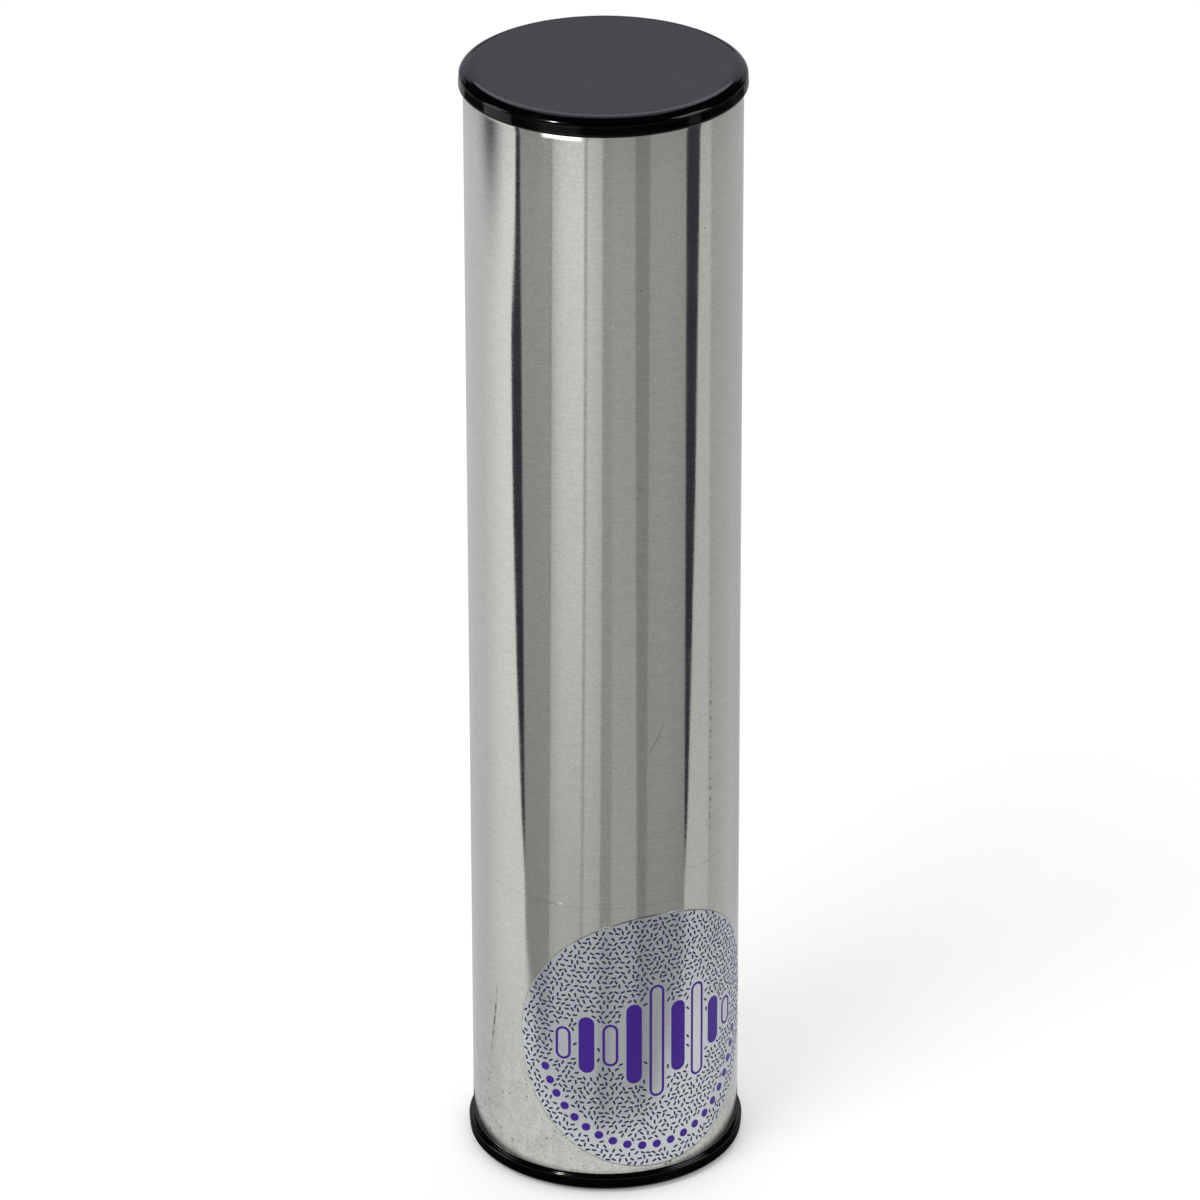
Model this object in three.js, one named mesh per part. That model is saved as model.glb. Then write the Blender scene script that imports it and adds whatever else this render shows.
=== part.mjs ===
// A hand shaker: a thin metal tube closed by two push-in plastic caps, with a round film label
// near its foot and loose steel shot inside.
//
// Millimetres, +Z up along the tube. The origin is the centre of the bottom cap's outer face,
// which the shaker stands on, and the label faces -Y.

import * as THREE from 'three';

// Tube

const TUBE_OUTER_DIAMETER = 50.8;
const TUBE_WALL = 0.8;
const TUBE_LENGTH = 212.8;
const TUBE_EDGE_BREAK = 0.15; // the small bevel that deburring leaves on both ends

// Caps: a flange that covers the tube's end, and a ribbed plug that holds in its bore

const CAP_FLANGE_OVERHANG = 0.9; // how far the flange stands out past the tube all round
const CAP_FLANGE_HEIGHT = 3.5;
const CAP_SHOULDER_WIDTH = 3.0; // the face falls away to the edge in a flat oval curve
const CAP_SHOULDER_HEIGHT = 1.4;
const CAP_UNDERSIDE_ROUND = 0.5;
const CAP_FLOOR = 2.0;
const CAP_PLUG_LENGTH = 12;
const CAP_PLUG_WALL = 1.6;
const CAP_PLUG_CHAMFER = 0.5;
const CAP_INNER_FILLET = 1.0;
const CAP_RIB_COUNT = 3;
const CAP_RIB_WIDTH = 1.0;

// Label: cut as a flat disc, then wrapped round the tube

const LABEL_DIAMETER = 54;
const LABEL_THICKNESS = 0.2;
const LABEL_EDGE_MARGIN = 1.2; // from the tube's lower end to the label's lowest point

// Shot

const SHOT_DIAMETER = 6;
const SHOT_COUNT = 55;

// Clearances

const CAP_SEAT_GAP = 0.1; // from the tube's end to the flange
const PLUG_CLEARANCE = 0.35; // from the plug's wall to the bore
const RIB_CLEARANCE = 0.05; // from a rib's crest to the bore
const LABEL_GLUE = 0.1; // the glue line under the film
const SHOT_GAP = 0.3; // from a ball to the next ball, to the caps and to the plug's wall

// Smoothness

const TURN_STEPS = 72;
const LABEL_STEPS = 48;
const BALL_SPLITS = 1;

// Sizes that follow from the ones above

const tubeRadius = TUBE_OUTER_DIAMETER / 2;
const boreRadius = tubeRadius - TUBE_WALL;
const flangeRadius = tubeRadius + CAP_FLANGE_OVERHANG;
const plugRadius = boreRadius - PLUG_CLEARANCE;
const ribRadius = boreRadius - RIB_CLEARANCE;
const recessRadius = plugRadius - CAP_PLUG_WALL;
const plugTip = CAP_FLANGE_HEIGHT + CAP_PLUG_LENGTH;
const tubeBottom = CAP_FLANGE_HEIGHT + CAP_SEAT_GAP;
const overallHeight = TUBE_LENGTH + 2 * tubeBottom;

// Materials

const brightAluminium = { color: 0xa4a6a3, roughness: 0.28, metalness: 1.0 };
const blackPlastic = { color: 0x141416, roughness: 0.22, metalness: 0.0 };
const printedFilm = { color: 0x9d9fb4, roughness: 0.35, metalness: 0.4 };
const polishedSteel = { color: 0x8e9094, roughness: 0.25, metalness: 1.0 };

function namedMesh(name, geometry, finish) {
  const mesh = new THREE.Mesh(geometry, new THREE.MeshStandardMaterial(finish));
  mesh.name = name;
  return mesh;
}

// A point of a half section: its distance from the axis and its height.
function at(radius, height) {
  return new THREE.Vector2(radius, height);
}

// Points on an oval arc of a half section, with angles in degrees from the outward direction.
function arc(centre, width, height, fromAngle, toAngle, steps) {
  const points = [];
  for (let step = 0; step <= steps; step += 1) {
    const angle = THREE.MathUtils.degToRad(THREE.MathUtils.lerp(fromAngle, toAngle, step / steps));
    points.push(at(centre.x + width * Math.cos(angle), centre.y + height * Math.sin(angle)));
  }
  return points;
}

// A half section turned once round the Z axis.
function turned(halfSection) {
  const geometry = new THREE.LatheGeometry(halfSection, TURN_STEPS);
  geometry.rotateX(Math.PI / 2);
  return geometry;
}

// The tube's wall, a closed section with its four edges broken, standing on height 0.
function tubeSection() {
  const broken = TUBE_EDGE_BREAK;
  const section = [
    at(boreRadius + broken, 0),
    at(tubeRadius - broken, 0),
    at(tubeRadius, broken),
    at(tubeRadius, TUBE_LENGTH - broken),
    at(tubeRadius - broken, TUBE_LENGTH),
    at(boreRadius + broken, TUBE_LENGTH),
    at(boreRadius, TUBE_LENGTH - broken),
    at(boreRadius, broken),
  ];
  section.push(section[0].clone());
  return section;
}

// The ribs stand evenly along the plug, each with a sharp crest.
function ribPoints() {
  const pitch = CAP_PLUG_LENGTH / (CAP_RIB_COUNT + 1);
  const points = [];
  for (let rib = 1; rib <= CAP_RIB_COUNT; rib += 1) {
    const middle = CAP_FLANGE_HEIGHT + rib * pitch;
    points.push(at(plugRadius, middle - CAP_RIB_WIDTH / 2));
    points.push(at(ribRadius, middle));
    points.push(at(plugRadius, middle + CAP_RIB_WIDTH / 2));
  }
  return points;
}

// A cap with its face down at height 0: along the face, up the flange and the plug, then down
// inside the recess to its floor.
function capSection() {
  const shoulder = at(flangeRadius - CAP_SHOULDER_WIDTH, CAP_SHOULDER_HEIGHT);
  const underRound = at(flangeRadius - CAP_UNDERSIDE_ROUND, CAP_FLANGE_HEIGHT - CAP_UNDERSIDE_ROUND);
  const innerRound = at(recessRadius - CAP_INNER_FILLET, CAP_FLOOR + CAP_INNER_FILLET);
  return [
    at(0, 0),
    ...arc(shoulder, CAP_SHOULDER_WIDTH, CAP_SHOULDER_HEIGHT, -90, 0, 5),
    ...arc(underRound, CAP_UNDERSIDE_ROUND, CAP_UNDERSIDE_ROUND, 0, 90, 2),
    at(plugRadius, CAP_FLANGE_HEIGHT),
    ...ribPoints(),
    at(plugRadius, plugTip - CAP_PLUG_CHAMFER),
    at(plugRadius - CAP_PLUG_CHAMFER, plugTip),
    at(recessRadius, plugTip),
    ...arc(innerRound, CAP_INNER_FILLET, CAP_INNER_FILLET, 0, -90, 3),
    at(0, CAP_FLOOR),
  ];
}

// The wrapped label, its centre at height 0. Its four corners in section, low inner, low outer,
// high outer and high inner, run across the disc from one side to the other, and every distance
// across the flat disc becomes an arc of that length on the tube.
function labelGeometry() {
  const radius = LABEL_DIAMETER / 2;
  const innerRadius = tubeRadius + LABEL_GLUE;
  const outerRadius = innerRadius + LABEL_THICKNESS;
  const vertices = [];
  for (let step = 0; step <= LABEL_STEPS; step += 1) {
    const sweep = Math.PI * step / LABEL_STEPS;
    const angle = -radius * Math.cos(sweep) / tubeRadius;
    const high = radius * Math.sin(sweep);
    for (const [distance, height] of [
      [innerRadius, -high],
      [outerRadius, -high],
      [outerRadius, high],
      [innerRadius, high],
    ]) {
      vertices.push(distance * Math.sin(angle), -distance * Math.cos(angle), height);
    }
  }
  const faces = [];
  for (let step = 0; step < LABEL_STEPS; step += 1) {
    for (let corner = 0; corner < 4; corner += 1) {
      const here = 4 * step + corner;
      const next = 4 * step + (corner + 1) % 4;
      faces.push(here, here + 4, next + 4);
      faces.push(here, next + 4, next);
    }
  }
  const geometry = new THREE.BufferGeometry();
  geometry.setAttribute('position', new THREE.Float32BufferAttribute(vertices, 3));
  geometry.setIndex(faces);
  geometry.computeVertexNormals();
  return geometry;
}

// The places of one layer of shot, nearest the axis first. Balls lie in a triangular pattern, and
// every second layer is shifted to sit in the hollows of the one below.
function layerPlaces(layer, pitch) {
  const reach = Math.max(recessRadius - SHOT_GAP - SHOT_DIAMETER / 2, 0);
  const shift = layer % 2 === 0 ? 0 : pitch / Math.sqrt(3);
  const rows = Math.ceil(reach / pitch) + 2;
  const places = [];
  for (let row = -rows; row <= rows; row += 1) {
    for (let column = -2 * rows; column <= 2 * rows; column += 1) {
      const x = (column + row / 2) * pitch;
      const y = row * pitch * Math.sqrt(3) / 2 + shift;
      if (Math.hypot(x, y) <= reach) {
        places.push(new THREE.Vector2(x, y));
      }
    }
  }
  return places.sort((one, other) => one.length() - other.length());
}

// The centres of all the balls, piled on the bottom cap's floor.
function shotCentres() {
  const pitch = SHOT_DIAMETER + SHOT_GAP;
  const layerHeight = pitch * Math.sqrt(2 / 3);
  const lowest = CAP_FLOOR + SHOT_GAP + SHOT_DIAMETER / 2;
  const centres = [];
  for (let layer = 0; centres.length < SHOT_COUNT; layer += 1) {
    for (const place of layerPlaces(layer, pitch).slice(0, SHOT_COUNT - centres.length)) {
      centres.push(new THREE.Vector3(place.x, place.y, lowest + layer * layerHeight));
    }
  }
  return centres;
}

function makeTube() {
  const tube = namedMesh('tube', turned(tubeSection()), brightAluminium);
  tube.position.z = tubeBottom;
  return tube;
}

function makeBottomCap() {
  return namedMesh('bottom_cap', turned(capSection()), blackPlastic);
}

function makeTopCap() {
  const cap = namedMesh('top_cap', turned(capSection()), blackPlastic);
  cap.rotation.x = Math.PI;
  cap.position.z = overallHeight;
  return cap;
}

function makeLabel() {
  const label = namedMesh('label', labelGeometry(), printedFilm);
  label.position.z = tubeBottom + LABEL_EDGE_MARGIN + LABEL_DIAMETER / 2;
  return label;
}

function makeShot() {
  const shot = new THREE.Group();
  shotCentres().forEach((centre, index) => {
    const number = String(index + 1).padStart(2, '0');
    const ball = new THREE.IcosahedronGeometry(SHOT_DIAMETER / 2, BALL_SPLITS);
    const mesh = namedMesh(`shot_${number}`, ball, polishedSteel);
    mesh.position.copy(centre);
    shot.add(mesh);
  });
  return shot;
}

const shaker = new THREE.Group();
shaker.add(makeTube());
shaker.add(makeBottomCap());
shaker.add(makeTopCap());
shaker.add(makeLabel());
shaker.add(makeShot());

export default shaker;
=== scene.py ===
# %% [markdown]
# # A tube shaker
#
# The real object is about as simple as an instrument gets: a length of thin aluminium tube, a
# black plastic cap pushed into each end, a round printed film label, and loose steel shot that
# makes the sound. Its looks come from few things, so each has to be right: how polished metal
# carries the room round it, the gloss of the caps, and the small print on the film.
#
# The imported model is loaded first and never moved. Every size below is read from it, or is a
# named value in metres, so a new surface lands exactly where the solid piece is.

import bpy
import numpy as np
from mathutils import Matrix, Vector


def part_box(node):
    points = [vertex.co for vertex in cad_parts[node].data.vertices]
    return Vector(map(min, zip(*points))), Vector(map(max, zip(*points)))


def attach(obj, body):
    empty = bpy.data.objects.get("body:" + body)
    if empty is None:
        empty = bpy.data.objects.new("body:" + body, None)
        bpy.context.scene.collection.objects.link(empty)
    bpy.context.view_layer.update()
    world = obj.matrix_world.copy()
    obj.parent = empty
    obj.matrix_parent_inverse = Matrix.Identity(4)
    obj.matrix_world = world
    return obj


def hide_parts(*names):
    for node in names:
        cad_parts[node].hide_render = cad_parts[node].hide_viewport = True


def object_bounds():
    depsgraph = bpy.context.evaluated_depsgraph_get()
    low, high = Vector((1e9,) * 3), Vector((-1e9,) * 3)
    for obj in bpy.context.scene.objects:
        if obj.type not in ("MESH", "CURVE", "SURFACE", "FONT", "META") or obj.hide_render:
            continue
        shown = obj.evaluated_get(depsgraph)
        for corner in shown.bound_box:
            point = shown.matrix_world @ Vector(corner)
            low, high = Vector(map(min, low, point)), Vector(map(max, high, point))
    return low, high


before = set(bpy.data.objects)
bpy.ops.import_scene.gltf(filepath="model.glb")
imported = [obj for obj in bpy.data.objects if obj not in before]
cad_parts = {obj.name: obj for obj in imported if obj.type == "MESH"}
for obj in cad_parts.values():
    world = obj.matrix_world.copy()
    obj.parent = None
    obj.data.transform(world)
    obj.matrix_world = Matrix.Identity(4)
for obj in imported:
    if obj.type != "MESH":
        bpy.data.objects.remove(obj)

MM = 0.001

cad_low, cad_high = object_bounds()
print("packed box, mm:", [round(side / MM, 2) for side in cad_high - cad_low])

# %% [markdown]
# ## Sizes
#
# The tube, the caps and the label are round, so each needs only a radius and two heights. They
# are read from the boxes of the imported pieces. The small radii and wall thicknesses inside a
# piece don't show in a box, so they are written here once.

# %% Read the main sizes
tube_low, tube_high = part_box("tube")
_, cap_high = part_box("bottom_cap")
label_low, label_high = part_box("label")

TUBE_RADIUS = tube_high.x
TUBE_FOOT = tube_low.z
TUBE_TOP = tube_high.z
TUBE_WALL = 0.8 * MM
TUBE_EDGE = 0.08 * MM

CAP_RADIUS = cap_high.x
CAP_DEPTH = cap_high.z
FLANGE_HEIGHT = 3.5 * MM
OVERALL_HEIGHT = cad_high.z

LABEL_RADIUS = (label_high.z - label_low.z) / 2
LABEL_CENTRE = (label_high.z + label_low.z) / 2

print("tube radius, mm:", round(TUBE_RADIUS / MM, 2), "label radius, mm:", round(LABEL_RADIUS / MM, 2))

# %% [markdown]
# ## The camera
#
# A picture taken from far away with a long lens keeps the tube's sides almost parallel; a near
# one tapers them. The taper, the ellipses of the two caps and the height of the tube between
# them fix the camera: about 1.4 m away, looking 26 degrees down, with a 220 mm lens. The label
# faces -Y, and the camera stands 22 degrees round to its left.

# %% Place the camera
CAMERA_DISTANCE = 1.3774
CAMERA_LENS = 221.54
CAMERA_PITCH = np.radians(26.09)
CAMERA_AZIMUTH = np.radians(-22.4)
CAMERA_ROLL = np.radians(0.13)
AIM_HEIGHT = 0.11273
AIM_SIDE = -0.00083


def turn_about_z(vector, angle):
    """The vector turned about Z: x and y mix by the cosine and sine of the angle."""
    x, y, z = vector
    cosine, sine = np.cos(angle), np.sin(angle)
    return np.array([x * cosine - y * sine, x * sine + y * cosine, z])


def add_object(name, data):
    """A new object with its data, in the scene."""
    made = bpy.data.objects.new(name, data)
    bpy.context.scene.collection.objects.link(made)
    return made


def frame_matrix(right, up, back, place):
    """The matrix whose columns are three unit vectors and a place."""
    matrix = np.eye(4)
    matrix[:3] = np.stack([right, up, back, place], axis=-1)
    return matrix.T.tolist()


def place_camera():
    """Three unit vectors, right, up and back, are the columns of the camera's matrix."""
    right = turn_about_z((1, 0, 0), CAMERA_AZIMUTH)
    up = turn_about_z((0, np.sin(CAMERA_PITCH), np.cos(CAMERA_PITCH)), CAMERA_AZIMUTH)
    back = turn_about_z((0, -np.cos(CAMERA_PITCH), np.sin(CAMERA_PITCH)), CAMERA_AZIMUTH)
    aim = AIM_SIDE * right + np.array([0, 0, AIM_HEIGHT])
    rolled_right = right * np.cos(CAMERA_ROLL) - up * np.sin(CAMERA_ROLL)
    rolled_up = up * np.cos(CAMERA_ROLL) + right * np.sin(CAMERA_ROLL)
    camera = add_object("camera", bpy.data.cameras.new("camera"))
    camera.matrix_world = frame_matrix(
        rolled_right, rolled_up, back, aim + CAMERA_DISTANCE * back)
    camera.data.lens = CAMERA_LENS
    camera.data.clip_start = 0.05
    camera.data.clip_end = 20.0
    bpy.context.scene.camera = camera
    return camera


camera = place_camera()
print("camera at", [round(value, 3) for value in camera.matrix_world.translation])

# %% [markdown]
# ## Surfaces from arrays
#
# Everything on this object is turned, or is flat and then bent round the tube. So two helpers
# make nearly all of it. `rounded` takes a corner list and puts an arc at each corner, and
# `turned` carries that outline round an axis as whole arrays of points.
#
# A smooth-shaded surface blends its normals between neighbouring points. Where a long flat run
# meets a tight arc, that blend would tilt the light right across the flat, so `guarded` adds a
# point close to each end of a long run, and the blend stays inside that short strip.

# %% Outline helpers


def circle(angles):
    """(cos a, sin a) for each angle a."""
    return np.stack([np.cos(angles), np.sin(angles)], axis=-1)


def rounded(corners, closed=False, arc_points=7):
    """An outline with an arc at each corner.

    A corner is (radius from the axis, height, rounding). With u and v the unit vectors to its
    neighbours and a half of the angle between them, the arc's centre lies along u + v at
    rounding / sin(a), and it touches both sides at rounding / tan(a) from the corner.
    """
    corners = np.array(corners, float)
    places, roundings = corners[:, :2], corners[:, 2]
    count = len(corners)
    outline = []
    for index in range(count):
        place, rounding = places[index], roundings[index]
        at_end = not closed and index in (0, count - 1)
        if at_end or rounding <= 0:
            outline.append(place[None])
            continue
        before = places[index - 1] - place
        after = places[(index + 1) % count] - place
        before /= np.linalg.norm(before)
        after /= np.linalg.norm(after)
        half = np.arccos(np.clip(before @ after, -1, 1)) / 2
        middle = (before + after) / np.linalg.norm(before + after)
        centre = place + middle * rounding / np.sin(half)
        start = place + before * rounding / np.tan(half) - centre
        end = place + after * rounding / np.tan(half) - centre
        from_angle = np.arctan2(start[1], start[0])
        sweep = (np.arctan2(end[1], end[0]) - from_angle + np.pi) % (2 * np.pi) - np.pi
        angles = from_angle + sweep * np.linspace(0, 1, arc_points)
        outline.append(centre + rounding * circle(angles))
    return np.concatenate(outline)


def guarded(outline, guard=0.15 * MM, closed=False):
    """The outline with two more points on every long run, one guard from each of its ends."""
    following = np.roll(outline, -1, axis=0)
    if not closed:
        following[-1] = outline[-1]
    result = []
    for here, there in zip(outline, following):
        result.append(here)
        length = np.linalg.norm(there - here)
        if length > 4 * guard:
            step = (there - here) / length * guard
            result.append(here + step)
            result.append(there - step)
    return np.array(result)


# %% Turn an outline round an axis


def grid_faces(rows, columns, closed=False):
    """Faces of a grid of points whose columns go round, and its rows too if it is closed.

    Face (i, j) joins points (i, j), (i, j + 1), (i + 1, j + 1) and (i + 1, j).
    """
    row, column = np.meshgrid(np.arange(rows if closed else rows - 1), np.arange(columns), indexing="ij")
    above, beside = (row + 1) % rows, (column + 1) % columns
    corners = [row * columns + column, row * columns + beside,
               above * columns + beside, above * columns + column]
    return np.stack(corners, axis=-1).reshape(-1, 4)


def turned(outline, steps, closed=False):
    """Points and faces of an outline carried once round Z.

    Point (i, j) is (r cos t, r sin t, z), with (r, z) the i-th point of the outline and t the
    j-th of the equal steps of a full turn. An open outline starts and ends on the axis, and
    its two ends are closed by fans of triangles round one point each. The outline runs
    anticlockwise, seen with the radius to the right and the height up, so faces point out.
    """
    ring = outline if closed else outline[1:-1]
    turn = np.linspace(0, 2 * np.pi, steps, endpoint=False)
    radius, height = ring[:, :1], ring[:, 1:]
    points = np.stack(
        [radius * np.cos(turn), radius * np.sin(turn), height + 0 * turn], axis=-1
    ).reshape(-1, 3)
    rows = len(ring)
    faces = grid_faces(rows, steps, closed).tolist()
    if not closed:
        first_pole, last_pole = len(points), len(points) + 1
        poles = [[0, 0, outline[0, 1]], [0, 0, outline[-1, 1]]]
        points = np.concatenate([points, poles])
        column = np.arange(steps)
        beside = (column + 1) % steps
        last_row = (rows - 1) * steps
        faces += np.stack([0 * column + first_pole, beside, column], -1).tolist()
        faces += np.stack([0 * column + last_pole, last_row + column, last_row + beside], -1).tolist()
    return points, faces


def joined(parts):
    """Lots of points and faces as one, each lot's faces counted on from the points before."""
    points, faces, start = [], [], 0
    for part_points, part_faces in parts:
        points.append(part_points)
        faces += [[corner + start for corner in face] for face in part_faces]
        start += len(part_points)
    return np.concatenate(points), faces


def make_piece(name, points, faces, smooth=True):
    """A mesh object at the origin, its place in its points."""
    mesh = bpy.data.meshes.new(name)
    mesh.from_pydata(np.asarray(points).tolist(), [], faces)
    mesh.polygons.foreach_set("use_smooth", np.full(len(mesh.polygons), smooth))
    mesh.update()
    piece = add_object(name, mesh)
    print(f"{name}: {len(mesh.vertices)} points, {len(mesh.polygons)} faces")
    return piece


# %% [markdown]
# ## Node helpers
#
# A material here is built in code, so small helpers keep it readable: they add a node and feed its
# inputs, do sums, mix colours, and start a node group or place one in a material.

# %% Node helpers


def feed(tree, socket, source):
    """Link the socket if the source is a socket, or else write the value on it."""
    if isinstance(source, bpy.types.NodeSocket):
        tree.links.new(source, socket)
    else:
        socket.default_value = source


def add_node(tree, kind, inputs=None, **settings):
    """A new node with its settings made and its inputs fed, by name or by number."""
    made = tree.nodes.new(kind)
    for name, value in settings.items():
        setattr(made, name, value)
    for name, source in (inputs or {}).items():
        feed(tree, made.inputs[name], source)
    return made


def calc(tree, operation, first, second=0.0, clamp=False):
    """The result of a sum on one or two values."""
    made = add_node(tree, "ShaderNodeMath", {0: first, 1: second}, operation=operation)
    made.use_clamp = clamp
    return made.outputs[0]


def times(tree, first, second):
    """The product of two values."""
    return calc(tree, "MULTIPLY", first, second)


def plus(tree, first, second, clamp=False):
    """The sum of two values."""
    return calc(tree, "ADD", first, second, clamp)


def weighted(tree, *parts):
    """The sum of values, each times its weight."""
    total, *others = [times(tree, value, weight) for value, weight in parts]
    for other in others:
        total = plus(tree, total, other)
    return total


def blend_colours(tree, share, first, second):
    """The first colour where the share is 0 and the second where it is 1."""
    made = add_node(tree, "ShaderNodeMix", data_type="RGBA")
    feed(tree, made.inputs["Factor"], share)
    feed(tree, made.inputs[6], first)
    feed(tree, made.inputs[7], second)
    return made.outputs[2]


def shaded(tree, colour, shade):
    """A colour times a shade."""
    made = add_node(tree, "ShaderNodeVectorMath", {0: colour[:3]}, operation="SCALE")
    feed(tree, made.inputs["Scale"], shade)
    return made.outputs[0]


def remap(tree, value, low, high, to_low=0.0, to_high=1.0):
    """The value taken smoothly from one range to another, clamped at both ends."""
    made = add_node(
        tree, "ShaderNodeMapRange",
        {"Value": value, "From Min": low, "From Max": high, "To Min": to_low, "To Max": to_high},
        interpolation_type="SMOOTHSTEP",
    )
    return made.outputs["Result"]


def start_group(name, inputs, outputs):
    """A node group, with its input sockets to read and its output sockets to feed.

    Each input comes with its usual value, and one without a value is a vector.
    """
    tree = bpy.data.node_groups.new(name, "ShaderNodeTree")
    for title, value in inputs.items():
        kind = "NodeSocketVector" if value is None else "NodeSocketFloat"
        socket = tree.interface.new_socket(title, in_out="INPUT", socket_type=kind)
        if value is not None:
            socket.default_value = value
    for title in outputs:
        tree.interface.new_socket(title, in_out="OUTPUT", socket_type="NodeSocketFloat")
    read = tree.nodes.new("NodeGroupInput").outputs
    write = tree.nodes.new("NodeGroupOutput").inputs
    return tree, read, write


def group_node(tree, group, **inputs):
    """A group placed in a tree, its inputs fed by name, with _ for a space in the name."""
    made = add_node(tree, "ShaderNodeGroup", node_tree=group)
    for name, source in inputs.items():
        feed(tree, made.inputs[name.replace("_", " ")], source)
    return made.outputs


def start_material(name):
    """A material with a Principled shader on its output, and the tree that they are in."""
    material = bpy.data.materials.new(name)
    material.use_nodes = True
    tree = material.node_tree
    shader = tree.nodes["Principled BSDF"]
    return material, tree, shader


def object_place(tree):
    """The place on the piece, which is also the place in the scene at rest."""
    return add_node(tree, "ShaderNodeTexCoord").outputs["Object"]


def finish_shader(tree, shader, colour, rough, relief=None, relief_depth=0.0, **plain):
    """Feed the colour, the roughness and a relief, then plain values, with _ for a space."""
    feed(tree, shader.inputs["Base Color"], colour)
    feed(tree, shader.inputs["Roughness"], rough)
    if relief is not None:
        bump = add_node(
            tree, "ShaderNodeBump", {"Height": relief, "Distance": relief_depth, "Strength": 1.0})
        feed(tree, shader.inputs["Normal"], bump.outputs["Normal"])
    for name, value in plain.items():
        shader.inputs[name.replace("_", " ")].default_value = value


# %% [markdown]
# ## The studio
#
# Polished metal has hardly any colour of its own: it shows what stands round it. A photographer
# who shoots a shiny tube puts it in a tent of pale and dark cards, and the stripes on the metal
# are those cards. So the stripes aren't painted on the tube here. The tent is one surface that
# lies on the floor round the shaker and then rises to a dome, and only glossy rays see it.
#
# A tube mirrors the room twice as fast as it turns: the strip at an angle p from the line that
# faces the camera shows what stands at about 2p round the tube. So 2p is the angle in which
# the cards are measured here, and a card's edges then run straight down the metal. And because
# the camera looks down, the tube's upper end shows cards far away and its foot shows those near
# it. So one card is a slice of the circle, with a brightness near the tube and one far from it.

# %% The cards on the floor
# Each line: an angle round from the camera's side with the camera's right positive, then the
# brightness near and far and how cool the white is there. Between two lines all of them run
# evenly, and a card's sharp edge is two lines close together.
CARDS = [
    (-180, 0.52, 0.56, 1.0),
    (-150, 0.60, 0.65, 1.0),
    (-120, 0.61, 0.68, 0.6),
    (-109, 0.70, 0.75, 0.2),
    (-98, 0.77, 0.87, 0.0),
    (-90, 0.79, 0.93, 0.0),
    (-72.5, 0.80, 0.95, 0.0),
    (-72.0, 0.31, 0.385, 0.0),
    (-60, 0.315, 0.39, 0.0),
    (-47.5, 0.33, 0.41, 0.0),
    (-46.5, 0.29, 0.34, 0.0),
    (-45.5, 0.29, 0.36, 0.0),
    (-45.0, 0.46, 0.60, 0.0),
    (-40, 0.50, 0.72, 0.0),
    (-34, 0.54, 0.83, 0.0),
    (-18.0, 0.52, 0.87, 0.0),
    (-17.5, 0.42, 0.44, 0.0),
    (-15.5, 0.42, 0.45, 0.0),
    (-15.0, 0.54, 0.74, 0.0),
    (-2.5, 0.49, 0.63, 0.0),
    (-2.0, 0.335, 0.40, 0.0),
    (6.0, 0.34, 0.405, 0.0),
    (6.5, 0.44, 0.43, 0.0),
    (26.0, 0.43, 0.42, 0.0),
    (26.5, 0.26, 0.295, 0.0),
    (36.5, 0.265, 0.295, 0.0),
    (37.0, 0.34, 0.41, 0.0),
    (52, 0.345, 0.42, 0.0),
    (71.0, 0.30, 0.385, 0.0),
    (71.5, 0.59, 0.60, 0.0),
    (97, 0.58, 0.60, 0.0),
    (100, 0.47, 0.45, 0.1),
    (135, 0.57, 0.51, 0.5),
    (155, 0.48, 0.50, 1.0),
    (180, 0.50, 0.54, 1.0),
]
NEAR, FAR = 0.14, 0.50
COOL_TINT = np.array([-0.01, 0.0, 0.07])

# The front cards don't point quite at the tube. Each line: an angle, and how many degrees the
# cards there swing to the right for each unit of the distance's logarithm past the pivot.
CARD_SWING = [
    (-58, 0.0), (-45, 5.6), (-16, 4.2), (-2, 2.8), (12, 0.0), (20, -2.4), (30, 0.0), (36, 2.6),
    (50, 0.0)]
SWING_PIVOT = 0.30

# Far out the cards are dimmer: from and to which distance, and by what share.
FAR_DIM = (0.51, 0.545, 0.13)

# The pale table under the shaker: its brightness, how much dimmer it is at the back and between
# which angles that comes in, where its straight front edge and its round sides end, and up to
# which angle the front edge counts. Right at the cap it is in the cap's own shade.
TABLE_GLOW, TABLE_DIM, TABLE_DIM_SIDES = 0.75, 0.15, (80, 130)
TABLE_FRONT = (0.044, 0.054)
TABLE_SIDE = (0.07, 0.12)
FRONT_REACH = 73
CONTACT_GLOW = 0.05
CONTACT_SHADE = (0.0300, 0.0328)

# The two dark gaps between the front cards and the side cards. Each starts at a fixed angle,
# and its other edge swings out with the distance.
GAP_NEAR_GLOW, GAP_FAR_GLOW, GAP_COOLNESS = 0.028, 0.044, 4
LEFT_GAP = -71.6, [
    (0.135, -71.6), (0.17, -75.6), (0.24, -80), (0.33, -82.6), (0.42, -83), (0.47, -78), (0.54, -76.4)]
RIGHT_GAP = 71.0, [(0.135, 71.0), (0.17, 75), (0.22, 77.6), (0.32, 82), (0.45, 84.5), (0.54, 86)]

# A soft dark spot: its angle, distance, two half sizes and what it does to the brightness.
DARK_SPOT = (-105.5, 0.55, 13, 0.064, -0.88)
SPOT_COOLNESS = 2

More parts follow.
